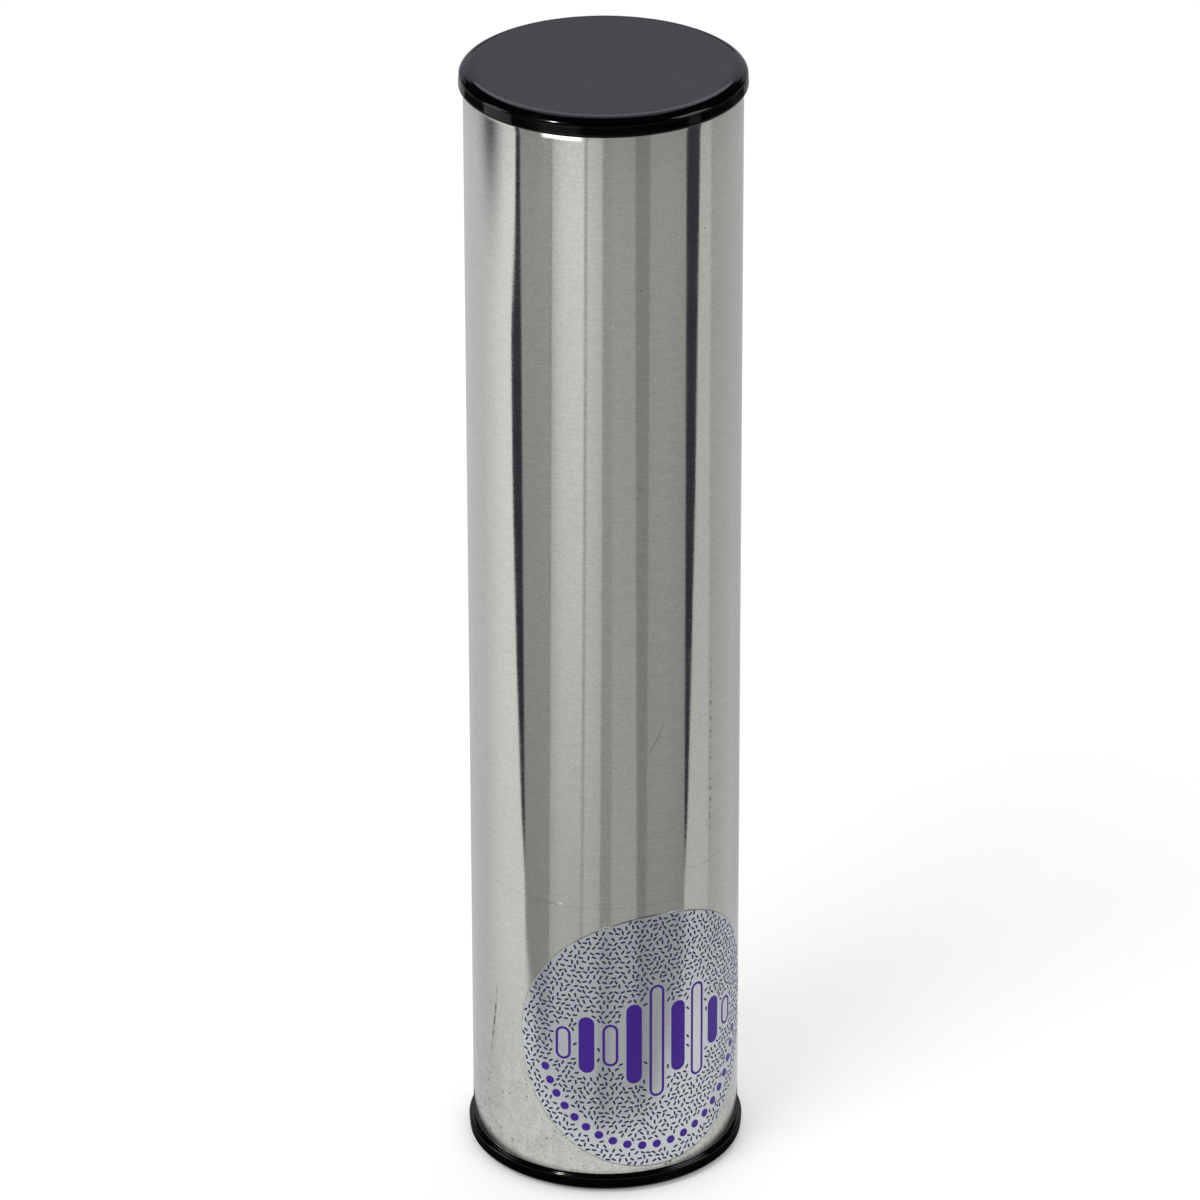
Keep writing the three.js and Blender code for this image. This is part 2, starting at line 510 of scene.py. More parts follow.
# Past the cards the floor shows only in the rims of the caps, and it comes nearer round the
# sides, so where the cards end goes by the angle: each pair is an angle and a distance. The
# floor there is dark, with a few boards, and a bright one that the tube's rolled end shows too.
# Farther out it is pale again up to the horizon, for those who look from lower down.
CARDS_END = [(0, 0.78), (60, 0.735), (100, 0.67), (140, 0.59), (180, 0.545)]
END_WIDTH = 0.02
LIT_FROM = (0.575, 0.62)
LIT_BOARD = (-52, -16, 2.6, 0.5)
LIT_SOFT = 5.0
RIM_GLOW = 0.01
FAR_FLOOR = (0.92, 1.10, 0.50)
RIM_BOARDS = [(-180, -142, 0.5), (-106, -77, 1.5), (70, 80, 0.7), (146, 180, 0.3)]


def smooth_step(value, low, high):
    """0 up to low, 1 from high on, and 3 t t - 2 t t t between, with t the way across."""
    t = np.clip((value - low) / (high - low), 0, 1)
    return t * t * (3 - 2 * t)


def mix(first, second, share):
    """The first value where the share is 0 and the second where it is 1."""
    return first * (1 - share) + second * share


def read_off(table, place):
    """The value at a place, from (place, value) pairs between which it runs evenly."""
    places, values = np.array(table, float).T
    return np.interp(place, places, values)


def strip_angle(side, radius):
    """Twice the angle p of the strip of the tube that mirrors a floor point.

    With R the tube's radius, the ray that leaves the strip heads round at 2p + R sin p / D, D
    being the camera's distance, and it starts R off the axis, so a point at the radius r lies
    at 2p + R sin p / D - asin(R sin p / r). That is solved for p by repeating it.
    """
    turn = np.radians(side) / 2
    for _ in range(6):
        start = TUBE_RADIUS * np.sin(turn)
        turn = (np.radians(side) - start / CAMERA_DISTANCE + np.arcsin(start / radius)) / 2
        turn = np.clip(turn, -np.pi / 2, np.pi / 2)
    return np.degrees(2 * turn)


def between(value, low, high, soft=0.5):
    """1 from low to high, 0 outside, with an even change of the given width inside each end."""
    return np.clip((value - low) / soft, 0, 1) * np.clip((high - value) / soft, 0, 1)


def gap_cover(strip, radius, gap):
    """1 between a gap's fixed edge and its swinging one."""
    fixed, swing = gap
    moving = read_off(swing, radius)
    return between(strip, np.minimum(fixed, moving), np.maximum(fixed, moving))


def floor_glow(side, radius):
    """Brightness and coolness of the floor at an angle and a distance.

    A card goes from its near brightness to its far one with the logarithm of the distance.
    The gaps, the table, the soft spot and the dark floor past the cards are then laid over.
    """
    strip = strip_angle(side, radius)
    far = np.clip(np.log(radius / NEAR) / np.log(FAR / NEAR), 0, 1)
    angles, near_glow, far_glow, coolness = np.array(CARDS, float).T
    swung = strip - read_off(CARD_SWING, strip) * np.log(radius / SWING_PIVOT)
    glow = mix(np.interp(swung, angles, near_glow), np.interp(swung, angles, far_glow), far)
    cool = np.interp(strip, angles, coolness)
    start, end, dim = FAR_DIM
    glow = glow * (1 - dim * smooth_step(radius, start, end))
    gap_glow = GAP_NEAR_GLOW + (GAP_FAR_GLOW - GAP_NEAR_GLOW) * far
    for gap in (LEFT_GAP, RIGHT_GAP):
        cover = gap_cover(strip, radius, gap)
        glow = mix(glow, gap_glow, cover)
        cool = mix(cool, GAP_COOLNESS, cover)
    past_front = smooth_step(radius * np.cos(np.radians(side)), *TABLE_FRONT)
    past_side = smooth_step(radius, *TABLE_SIDE)
    past_table = np.where(np.abs(strip) < FRONT_REACH, past_front, past_side)
    table = TABLE_GLOW - TABLE_DIM * smooth_step(np.abs(strip), *TABLE_DIM_SIDES)
    glow = mix(table, glow, past_table)
    spot_side, spot_radius, half_side, half_radius, change = DARK_SPOT
    off = ((strip - spot_side) / half_side) ** 2 + ((radius - spot_radius) / half_radius) ** 2
    glow = glow * (1 + change * np.exp(-off))
    cool = cool + SPOT_COOLNESS * np.exp(-off)
    rim = np.full(side.shape, RIM_GLOW)
    for start, end, board in RIM_BOARDS:
        rim = rim + board * between(strip, start - 1, end + 1, 1.0)
    start, end, bright, dim = LIT_BOARD
    lit = between(strip, start, end, LIT_SOFT)
    glow = glow + (bright - glow) * lit * smooth_step(radius, *LIT_FROM)
    rim = rim + dim * lit
    end = read_off(CARDS_END, np.abs(strip))
    past_cards = smooth_step(radius, end, end + END_WIDTH)
    start, end, far_floor = FAR_FLOOR
    rim = rim + far_floor * smooth_step(radius, start, end)
    glow = mix(glow, rim, past_cards)
    contact = CONTACT_GLOW + (1 - CONTACT_GLOW) * smooth_step(radius, *CONTACT_SHADE)
    return glow * contact, cool * (1 - past_cards)


# %% The cards above the floor
# The walls: from and to in degrees round, from and to in degrees up, and the brightness.
DARK_GLOW = 0.015
HORIZON = (4, 13, 0.50)
WALLS = [
    (144, 170, 5, 26, 0.55),
    (190, 216, 5, 26, 0.55),
    (156, 204, 17, 32, 0.66),
    (165, 195, 32, 44, 2.0),
    (164, 196, 43, 57, 1.1),
    (-106, -84, 0, 38, 3.2),
    (72, 83, 0, 30, 0.6),
    (62, 94, 21, 50, 6.0),
]
WALL_COOLNESS = 2.2
WALL_SOFT = 1.5
STREAK = (-47, 47, 12.0, 5.0, 2.0)


def dome_glow(side, rise):
    """Brightness of the dome at an angle round and an angle above the floor.

    The horizon is pale and the walls are rectangles. The faint streak round the spark of a lamp
    is a soft spot, exp(-(across / half width) squared - (up / half height) squared).
    """
    start, end, horizon = HORIZON
    glow = DARK_GLOW + horizon * (1 - smooth_step(rise, start, end)) + 0 * side
    for start, end, low, high, wall in WALLS:
        cover = np.maximum(
            between((side + 180) % 360 - 180, start, end, WALL_SOFT),
            between(side % 360, start, end, WALL_SOFT))
        cover = cover * between(rise, low - 1, high, WALL_SOFT)
        glow = mix(glow, wall, cover)
    streak_side, streak_rise, half_width, half_height, streak = STREAK
    across, up = side - streak_side, rise - streak_rise
    return glow + streak * np.exp(-(across / half_width) ** 2 - (up / half_height) ** 2)


# %% Make the tent
SIDE_STEPS = 600
FLOOR_RINGS = np.concatenate([
    [0.0265, 0.028, 0.030, 0.031, 0.032, 0.033, 0.034, 0.035, 0.040, 0.047, 0.055, 0.065, 0.080],
    np.geomspace(0.10, 0.53, 34),
    np.arange(0.54, 0.86, 0.01),
    [0.90, 1.0, 1.6],
])
DOME_RADIUS = 2.4
DOME_RISES = np.arange(0.0, 90.0, 1.25)
CARD_LIFT = 0.2 * MM


def make_tent():
    """Rings on the floor and then up a dome, closed by one point, its glow kept at each point."""
    side = (np.arange(SIDE_STEPS) + 0.5) * 360 / SIDE_STEPS - 180
    rise = np.radians(DOME_RISES)
    radius = np.concatenate([FLOOR_RINGS, DOME_RADIUS * np.cos(rise)])
    height = np.concatenate([np.zeros(len(FLOOR_RINGS)), DOME_RADIUS * np.sin(rise)]) + CARD_LIFT
    turn = np.radians(side) + CAMERA_AZIMUTH
    points = np.stack([
        radius[:, None] * np.sin(turn), -radius[:, None] * np.cos(turn), height[:, None] + 0 * turn,
    ], axis=-1).reshape(-1, 3)
    points = np.concatenate([points, [[0, 0, DOME_RADIUS + CARD_LIFT]]])
    rows = len(radius)
    faces = grid_faces(rows, SIDE_STEPS)[:, [0, 3, 2, 1]].tolist()
    column = np.arange(SIDE_STEPS) + (rows - 1) * SIDE_STEPS
    beside = np.roll(column, -1)
    faces += np.stack([column, 0 * column + len(points) - 1, beside], axis=-1).tolist()
    tent = make_piece("card_tent", points, faces)

    floor_side = np.broadcast_to(side, (len(FLOOR_RINGS), SIDE_STEPS))
    on_floor, cool = floor_glow(floor_side, FLOOR_RINGS[:, None] + 0 * side)
    on_dome = dome_glow(np.broadcast_to(side, (len(rise), SIDE_STEPS)), DOME_RISES[:, None] + 0 * side)
    glow = np.concatenate([on_floor.ravel(), on_dome.ravel(), [DARK_GLOW]])
    cool = np.concatenate([cool.ravel(), np.full(on_dome.size + 1, WALL_COOLNESS)])
    colour = np.ones((len(points), 4), np.float32)
    colour[:, :3] = glow[:, None] * (1 + cool[:, None] * COOL_TINT)
    attribute = tent.data.attributes.new("glow", "FLOAT_COLOR", "POINT")
    attribute.data.foreach_set("color", colour.ravel())
    tent.visible_camera = False
    tent.visible_diffuse = False
    tent.visible_transmission = False
    tent.visible_volume_scatter = False
    tent.visible_shadow = False
    return tent


def card_material():
    """A plain emitter of the colour kept at each point. It is no lamp."""
    material = bpy.data.materials.new("card_glow")
    material.use_nodes = True
    tree = material.node_tree
    tree.nodes.clear()
    glow = add_node(tree, "ShaderNodeAttribute", attribute_name="glow")
    light = add_node(tree, "ShaderNodeEmission", {"Color": glow.outputs["Color"], "Strength": 1.0})
    add_node(tree, "ShaderNodeOutputMaterial", {"Surface": light.outputs[0]})
    material.cycles.emission_sampling = "NONE"
    return material


tent = make_tent()
tent.data.materials.append(card_material())

# %% [markdown]
# The floor is a plain pale sheet that keeps the soft shadow. A little light of its own takes it
# to the white of the background, and only the camera and clear or glossy surfaces see that
# light, so it doesn't light the shaker more. The world is the same white to them and an even
# fill to everything else. The two soft lamps aren't seen in the metal, because the tent is.

# %% The floor, the world and the lamps
FLOOR_HALF = 6.0
FLOOR_COLOUR = (0.88, 0.88, 0.88, 1)
FLOOR_GLOW = 0.22
FILL_STRENGTH = 0.62


def seen_directly(tree):
    """1 for the rays of the camera and those that polished or clear surfaces send, or else 0."""
    path = add_node(tree, "ShaderNodeLightPath").outputs
    polished = calc(tree, "MAXIMUM", path["Is Glossy Ray"], path["Is Transmission Ray"])
    return calc(tree, "MAXIMUM", path["Is Camera Ray"], polished)


def make_floor():
    """A square sheet on the level that the shaker stands on."""
    corners = np.array([[-1, -1, 0], [1, -1, 0], [1, 1, 0], [-1, 1, 0]]) * FLOOR_HALF
    floor = make_piece("floor", corners, [[0, 1, 2, 3]])
    material, tree, shader = start_material("pale_floor")
    shader.inputs["Base Color"].default_value = FLOOR_COLOUR
    shader.inputs["Roughness"].default_value = 0.9
    shader.inputs["Specular IOR Level"].default_value = 0.0
    shader.inputs["Emission Color"].default_value = (1, 1, 1, 1)
    feed(tree, shader.inputs["Emission Strength"], times(tree, seen_directly(tree), FLOOR_GLOW))
    material.cycles.emission_sampling = "NONE"
    floor.data.materials.append(material)
    return floor


def make_world():
    """A white background to direct rays, and an even fill to the rest."""
    world = bpy.data.worlds.new("studio")
    bpy.context.scene.world = world
    world.use_nodes = True
    tree = world.node_tree
    tree.nodes.clear()
    direct = seen_directly(tree)
    strength = plus(tree, times(tree, direct, 1 - FILL_STRENGTH), FILL_STRENGTH)
    light = add_node(tree, "ShaderNodeBackground", {"Strength": strength})
    light.inputs["Color"].default_value = (1, 1, 1, 1)
    add_node(tree, "ShaderNodeOutputWorld", {0: light.outputs[0]})
    return world


def add_lamp(name, side_deg, height_deg, distance, width, height, watts):
    """A rectangular soft lamp that looks at the middle of the shaker, unseen in polished things.

    It stands at an angle round from the camera's side and an angle above the floor.
    """
    turn, rise = np.radians(side_deg) + CAMERA_AZIMUTH, np.radians(height_deg)
    back = np.array([np.sin(turn) * np.cos(rise), -np.cos(turn) * np.cos(rise), np.sin(rise)])
    right = np.array([np.cos(turn), np.sin(turn), 0])
    place = np.array([0, 0, OVERALL_HEIGHT / 2]) + distance * back
    data = bpy.data.lights.new(name, "AREA")
    data.shape = "RECTANGLE"
    data.size = width
    data.size_y = height
    data.energy = watts
    lamp = add_object(name, data)
    lamp.matrix_world = frame_matrix(right, np.cross(back, right), back, place)
    lamp.visible_glossy = False
    return lamp


floor = make_floor()
make_world()
add_lamp("key_lamp", side_deg=-42, height_deg=50, distance=1.5, width=0.7, height=0.7, watts=7.0)
add_lamp("top_lamp", side_deg=150, height_deg=70, distance=1.6, width=1.0, height=1.0, watts=5.0)

# A third lamp is there only for the spark that it leaves on the caps' glossy rims.
spark_lamp = add_lamp(
    "spark_lamp", side_deg=-46.5, height_deg=47, distance=1.5, width=0.06, height=0.25, watts=18.0)
spark_lamp.visible_glossy = True
spark_lamp.visible_diffuse = False
bpy.context.scene.view_settings.view_transform = "Standard"
print("studio: 3 lamps and", len(CARDS), "floor cards")

# %% [markdown]
# ## The tube
#
# A drawn aluminium tube: a straight wall with its cut edges just broken. A primitive cylinder
# has knife edges and no wall, so the wall is turned from an outline of four rounded corners.
# The wheel that cuts a tube also rolls its upper end in by a few hundredths of a millimetre.
# That can't be measured by eye, but it can be seen: it leans just enough to mirror the bright
# board that glows in the card tent, and gives the thin white line under the lip of the cap.

# %% Turn the tube
ROUND_STEPS = 256
ROLL_HEIGHT = 1.2 * MM
ROLL_DEPTH = 0.03 * MM


def make_tube():
    """The wall's section is a tall rectangle with an arc at each corner, carried round Z.

    The roll is a parabola: at t of its height the wall stands in by the depth times t squared.
    """
    bore = TUBE_RADIUS - TUBE_WALL
    t = np.linspace(0, 0.9, 7)
    roll = [
        (TUBE_RADIUS - ROLL_DEPTH * way**2, TUBE_TOP - ROLL_HEIGHT * (1 - way), 0) for way in t]
    outline = rounded([
        (bore, TUBE_FOOT, TUBE_EDGE),
        (TUBE_RADIUS, TUBE_FOOT, TUBE_EDGE),
        *roll,
        (TUBE_RADIUS - ROLL_DEPTH, TUBE_TOP, TUBE_EDGE),
        (bore, TUBE_TOP, TUBE_EDGE),
    ], closed=True, arc_points=4)
    points, faces = turned(guarded(outline, closed=True), ROUND_STEPS, closed=True)
    tube = make_piece("drawn_tube", points, faces)
    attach(tube, "shell")
    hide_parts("tube")
    return tube


tube = make_tube()

# %% [markdown]
# ### Shared surface effects
#
# The metal, the film and the plastic all need a place on the object in simple terms, fine
# streaks, small pits and a scratch here and there. Each is a node group, built once.
#
# `round_place` gives the arc length round the tube from the label's middle line, and the height
# above the table, both in millimetres. `streaks` is noise that is stretched one way. `pits` are
# the small round cells of a Voronoi pattern, of which only some are kept. `scratch` is a thin
# bent line that is laid by its middle, its length, its lean and its bend.

# %% Group: where a point is round the tube
MM_PER_M = 1000.0


def round_place_group():
    """Arc is the radius times the angle whose tangent is x over -y, and height is z, in mm."""
    tree, read, write = start_group("round_place", {"Position": None}, ["Arc", "Height"])
    parts = add_node(tree, "ShaderNodeSeparateXYZ", {0: read["Position"]}).outputs
    front = times(tree, parts["Y"], -1.0)
    angle = calc(tree, "ARCTAN2", parts["X"], front)
    feed(tree, write["Arc"], times(tree, angle, TUBE_RADIUS * MM_PER_M))
    feed(tree, write["Height"], times(tree, parts["Z"], MM_PER_M))
    return tree


ROUND_PLACE = round_place_group()

# %% Group: stretched noise


def streaks_group():
    """Noise read at (x, y) times the fineness across and z times the fineness along."""
    tree, read, write = start_group(
        "streaks", {"Position": None, "Across": 1000.0, "Along": 1000.0, "Detail": 2.0}, ["Value"])
    stretch = add_node(tree, "ShaderNodeCombineXYZ", {
        "X": read["Across"], "Y": read["Across"], "Z": read["Along"]})
    place = add_node(
        tree, "ShaderNodeVectorMath", {0: read["Position"], 1: stretch.outputs[0]},
        operation="MULTIPLY")
    noise = add_node(tree, "ShaderNodeTexNoise", {
        "Vector": place.outputs[0], "Scale": 1.0, "Detail": read["Detail"], "Roughness": 0.55})
    feed(tree, write["Value"], noise.outputs["Fac"])
    return tree


STREAKS = streaks_group()

# %% Group: small pits


def pits_group():
    """A Voronoi cell of the given fineness keeps its pit where its random value is small.

    The pit is the part of the cell whose distance to the cell's centre is below the size.
    """
    tree, read, write = start_group(
        "pits", {"Position": None, "Fineness": 400.0, "Size": 0.12, "Share": 0.3}, ["Mask"])
    cells = add_node(tree, "ShaderNodeTexVoronoi", {
        "Vector": read["Position"], "Scale": read["Fineness"]})
    lot = add_node(tree, "ShaderNodeSeparateColor", {0: cells.outputs["Color"]}).outputs["Red"]
    kept = calc(tree, "LESS_THAN", lot, read["Share"])
    edge = times(tree, read["Size"], 0.6)
    inside = remap(tree, cells.outputs["Distance"], edge, read["Size"], 1.0, 0.0)
    feed(tree, write["Mask"], times(tree, kept, inside))
    return tree


PITS = pits_group()


def noises(tree, position, table):
    """The streaks of each line of a table: a name, then the fineness both ways and the detail."""
    return {
        name: group_node(
            tree, STREAKS, Position=position, Across=across, Along=along, Detail=detail)[0]
        for name, (across, along, detail) in table.items()
    }


def pits(tree, position, fineness, size, share):
    """The mask of one kind of pits."""
    return group_node(
        tree, PITS, Position=position, Fineness=fineness, Size=size, Share=share)[0]


# %% Group: one scratch


def scratch_group():
    """A thin line through (Arc 0, Height 0), of a length, a lean and a bend, in mm.

    With a and h the offsets from the middle, along is a cos(lean) + h sin(lean), and off is
    h cos(lean) - a sin(lean) - bend times along squared. The line is where off is below the
    width and along below half the length, faded towards both ends.
    """
    tree, read, write = start_group(
        "scratch",
        {"Arc": 0.0, "Height": 0.0, "Arc 0": 0.0, "Height 0": 0.0, "Length": 10.0, "Lean": 0.0,
         "Bend": 0.0, "Width": 0.1},
        ["Mask"])
    arc = calc(tree, "SUBTRACT", read["Arc"], read["Arc 0"])
    height = calc(tree, "SUBTRACT", read["Height"], read["Height 0"])
    cosine, sine = calc(tree, "COSINE", read["Lean"]), calc(tree, "SINE", read["Lean"])
    along = plus(tree, times(tree, arc, cosine), times(tree, height, sine))
    straight = calc(tree, "SUBTRACT", times(tree, height, cosine), times(tree, arc, sine))
    bow = times(tree, times(tree, along, along), read["Bend"])
    off = calc(tree, "ABSOLUTE", calc(tree, "SUBTRACT", straight, bow))
    thin = remap(tree, off, 0.0, read["Width"], 1.0, 0.0)
    reach = calc(tree, "DIVIDE", calc(tree, "ABSOLUTE", along), times(tree, read["Length"], 0.5))
    faded = remap(tree, reach, 0.5, 1.0, 1.0, 0.0)
    feed(tree, write["Mask"], times(tree, thin, faded))
    return tree


SCRATCH = scratch_group()
print("node groups:", [group.name for group in (ROUND_PLACE, STREAKS, PITS, SCRATCH)])

# %% [markdown]
# ### Drawn aluminium
#
# Bare drawn tube is bright but not quite a mirror. Pulling it through the die leaves faint lines
# along it, polishing leaves fine rings round it, handling leaves a cloudy bloom, and there are
# pits and a few scratches, most of them near the foot. A few tiny specks and one short line are
# painted white in the colour as glints, the sparkle of small dents. All of it is faint: the colour
# moves by a few percent and the roughness by a little, because strong marks would hide the
# stripes of the cards. A scratch is broken up by noise, because a real one skips.

# %% The metal
METAL_COLOUR = (0.664, 0.674, 0.618, 1)
METAL_DARK = (0.11, 0.095, 0.075, 1)
# Painted glint: the white that the sparkling specks get in the colour.
PAINTED_GLINT_COLOUR = (1.0, 1.0, 1.0, 1)
METAL_NOISE = {
    "die lines": (2600.0, 18.0, 1.0),
    "rings": (250.0, 3600.0, 1.0),
    "grain": (3400.0, 3400.0, 2.0),
    "bloom": (1700.0, 1700.0, 3.0),
    "clouds": (90.0, 60.0, 2.0),
    "stains": (420.0, 260.0, 4.0),
    "breaks": (600.0, 600.0, 2.0),
    "beads": (500.0, 900.0, 1.0),
}
MOTTLE = {"bloom": 0.4, "rings": 0.3, "grain": 0.3}
METAL_RELIEF = {"die lines": 0.08, "grain": 0.16, "bloom": 0.30, "rings": 0.45}
METAL_RELIEF_DEPTH = 0.004 * MM
METAL_ROUGHNESS = 0.06
HAZE_ROUGHNESS = 0.025
FOOT_ROUGHNESS = 0.03
MARK_ROUGHNESS = 0.25
METAL_SHADE = (0.915, 1.055)
STAIN_SHADE = (-0.08, 0.06)
BLOOM_SHADE = (-0.05, 0.05)
FOOT_FADE = (6.0, 46.0)
# Pits: their fineness, size and share. Those of the foot come in a range of sizes.
LONE_PITS = (300.0, 0.07, 0.08)
# Specks painted white as glints: their fineness, size and share.
PAINTED_GLINT_SPECKS = (230.0, 0.05, 0.10)
FOOT_PITS_FINENESS, FOOT_PITS_SIZE, FOOT_PITS_SHARE = 1100.0, (0.12, 0.42), 0.42
PIT_STRENGTH = 0.60
DOTTED_STRENGTH = 0.65
SCRATCH_INPUTS = ("Arc_0", "Height_0", "Length", "Lean", "Bend", "Width")
SCRATCHES = [
    # arc, height, length, lean, bend, width, strength
    (-34.6, 31.5, 18.0, 1.42, 0.003, 0.45, 0.95),
    (-9.0, 61.0, 40.0, 0.0, 0.0, 0.13, 0.35),
    (12.0, 66.7, 15.0, 0.05, 0.004, 0.16, 0.50),
    (0.2, 95.9, 8.0, 1.1, 0.03, 0.22, 0.50),
    (-26.0, 61.4, 20.0, -0.03, 0.0, 0.14, 0.40),
    (-5.6, 115.5, 2.6, 0.0, 0.0, 0.22, 0.45),
    (-2.0, 151.0, 1.6, 0.3, 0.0, 0.16, 0.50),
    (60.0, 120.0, 40.0, 1.25, 0.001, 0.14, 0.30),
    (-70.0, 90.0, 30.0, 0.3, 0.002, 0.14, 0.30),
    (76.0, 180.0, 22.0, -0.6, 0.004, 0.14, 0.30),
]
# One short line painted white as a glint.
PAINTED_GLINT_LINE = (-18.4, 61.4, 0.9, 0.3, 0.0, 0.45)
DOTTED_LINE = (12.5, 89.0, 48.0, 1.571, 0.0, 0.5)


def one_scratch(tree, place, line):
    """The mask of one line: its arc, height, length, lean, bend and width."""
    return group_node(
        tree, SCRATCH, Arc=place["Arc"], Height=place["Height"], **dict(zip(SCRATCH_INPUTS, line)))[0]


def metal_marks(tree, position, place, noise, near_foot):
    """Two masks: the dark marks, and the few specks and one short line painted white as glints.

    The dark marks are the pits, which gather in patches near the foot, plus the strongest of the
    scratches, broken up by noise, or of the dotted line.
    """
    foot_size = remap(tree, noise["breaks"], 0.35, 0.65, *FOOT_PITS_SIZE)
    foot_pits = pits(tree, position, FOOT_PITS_FINENESS, foot_size, FOOT_PITS_SHARE)
    patchy = times(tree, near_foot, remap(tree, noise["clouds"], 0.42, 0.58))
    all_pits = calc(
        tree, "MAXIMUM", pits(tree, position, *LONE_PITS), times(tree, foot_pits, patchy))
    scratches = 0.0
    for *line, strength in SCRATCHES:
        mask = times(tree, one_scratch(tree, place, line), strength)
        scratches = calc(tree, "MAXIMUM", scratches, mask)
    scratches = times(tree, scratches, remap(tree, noise["breaks"], 0.44, 0.56, 0.25, 1.0))
    dotted = times(tree, one_scratch(tree, place, DOTTED_LINE), remap(tree, noise["beads"], 0.50, 0.62))
    scratches = calc(tree, "MAXIMUM", scratches, times(tree, dotted, DOTTED_STRENGTH))
    marks = plus(tree, times(tree, all_pits, PIT_STRENGTH), scratches, clamp=True)
    nicks_and_glints = pits(tree, position, *PAINTED_GLINT_SPECKS)
    return marks, calc(tree, "MAXIMUM", nicks_and_glints, one_scratch(tree, place, PAINTED_GLINT_LINE))


def metal_material():
    """The colour times a shade from the noises, darker at the marks and painted white as glints at the
    bright specks.
    """
    material, tree, shader = start_material("drawn_aluminium")
    position = object_place(tree)
    place = group_node(tree, ROUND_PLACE, Position=position)
    noise = noises(tree, position, METAL_NOISE)
    near_foot = remap(tree, place["Height"], *FOOT_FADE, 1.0, 0.0)
    marks, nicks_and_glints = metal_marks(tree, position, place, noise, near_foot)

    mottle = weighted(tree, *[(noise[name], weight) for name, weight in MOTTLE.items()])
    shade = remap(tree, mottle, 0.38, 0.62, *METAL_SHADE)
    stained = remap(tree, noise["stains"], 0.36, 0.64, *STAIN_SHADE)
    cloudy = remap(tree, noise["bloom"], 0.36, 0.64, *BLOOM_SHADE)
    shade = plus(tree, shade, times(tree, near_foot, plus(tree, stained, cloudy)))
    marked = blend_colours(tree, marks, shaded(tree, METAL_COLOUR, shade), METAL_DARK)

    rough = weighted(
        tree, (remap(tree, mottle, 0.4, 0.65), HAZE_ROUGHNESS),
        (remap(tree, noise["clouds"], 0.4, 0.7), HAZE_ROUGHNESS),
        (near_foot, FOOT_ROUGHNESS), (marks, MARK_ROUGHNESS))
    relief = weighted(tree, *[(noise[name], weight) for name, weight in METAL_RELIEF.items()])
    # The colour goes white at the painted glints.
    finish_shader(
        tree, shader, blend_colours(tree, nicks_and_glints, marked, PAINTED_GLINT_COLOUR),
        plus(tree, rough, METAL_ROUGHNESS), calc(tree, "SUBTRACT", relief, marks),
        METAL_RELIEF_DEPTH, Metallic=1.0)
    return material


tube.data.materials.append(metal_material())

# %% [markdown]
# ## The caps
#
# Each cap is one moulding: a flange that covers the tube's cut end, whose face falls away to the
# edge in a flat oval shoulder, and inside the tube a ribbed plug round a hollow. Outside only
# the flange shows, but the whole cap is made, because the part can be seen taken apart. The
# shoulder is what makes the cap look moulded: it bends the reflections into the thin bright
# line at the front of the face, and a plain rounded corner would be too tight for that. The
# flange's side has the small draft that lets it out of the mould, wider towards the tube.

# %% Turn the two caps
SHOULDER_WIDTH = 3.0 * MM
SHOULDER_HEIGHT = 1.4 * MM
SHOULDER_SWEEP_DEG = 86
FLANGE_DRAFT = 0.14 * MM
DRAFT_START = 0.1 * MM
CAP_UNDER_ROUND = 0.5 * MM
CAP_FLOOR = 2.0 * MM
CAP_INNER_FILLET = 1.0 * MM
PLUG_CLEARANCE = 0.35 * MM
PLUG_WALL = 1.6 * MM
PLUG_CHAMFER = 0.5 * MM
PLUG_ROOT_ROUND = 0.2 * MM
PLUG_RIM_ROUND = 0.3 * MM
RIB_CLEARANCE = 0.05 * MM
RIB_COUNT = 3
RIB_WIDTH = 1.0 * MM
RIB_ROUND = 0.1 * MM
CAP_STEPS = 288

FLAT_RADIUS = CAP_RADIUS - SHOULDER_WIDTH
PLUG_RADIUS = TUBE_RADIUS - TUBE_WALL - PLUG_CLEARANCE
RIB_CREST = TUBE_RADIUS - TUBE_WALL - RIB_CLEARANCE


def cap_outline():
    """The section of a cap that lies on its face, from the axis out, up and back to the axis.

    The shoulder is a quarter of an oval: its point at t is the width times sin t out from
    where it starts, and the height times 1 - cos t up from the face.
    """
    pitch = (CAP_DEPTH - FLANGE_HEIGHT) / (RIB_COUNT + 1)
    t = np.radians(np.linspace(0, SHOULDER_SWEEP_DEG, 25))
    width = CAP_RADIUS - FLANGE_DRAFT - FLAT_RADIUS
    shoulder = np.stack([
        FLAT_RADIUS + width * np.sin(t), SHOULDER_HEIGHT - SHOULDER_HEIGHT * np.cos(t)], axis=-1)
    corners = [
        (CAP_RADIUS - FLANGE_DRAFT, SHOULDER_HEIGHT + DRAFT_START, 0),
        (CAP_RADIUS, FLANGE_HEIGHT, CAP_UNDER_ROUND),
        (PLUG_RADIUS, FLANGE_HEIGHT, PLUG_ROOT_ROUND),
    ]
    for rib in range(1, RIB_COUNT + 1):
        middle = FLANGE_HEIGHT + rib * pitch
        corners += [
            (PLUG_RADIUS, middle - RIB_WIDTH / 2, RIB_ROUND),
            (RIB_CREST, middle, RIB_ROUND),
            (PLUG_RADIUS, middle + RIB_WIDTH / 2, RIB_ROUND),
        ]
    corners += [
        (PLUG_RADIUS, CAP_DEPTH, PLUG_CHAMFER),
        (PLUG_RADIUS - PLUG_WALL, CAP_DEPTH, PLUG_RIM_ROUND),
        (PLUG_RADIUS - PLUG_WALL, CAP_FLOOR, CAP_INNER_FILLET),
        (0, CAP_FLOOR, 0),
    ]
    return guarded(np.concatenate([[[0, 0]], shoulder, rounded(corners, arc_points=9)]))


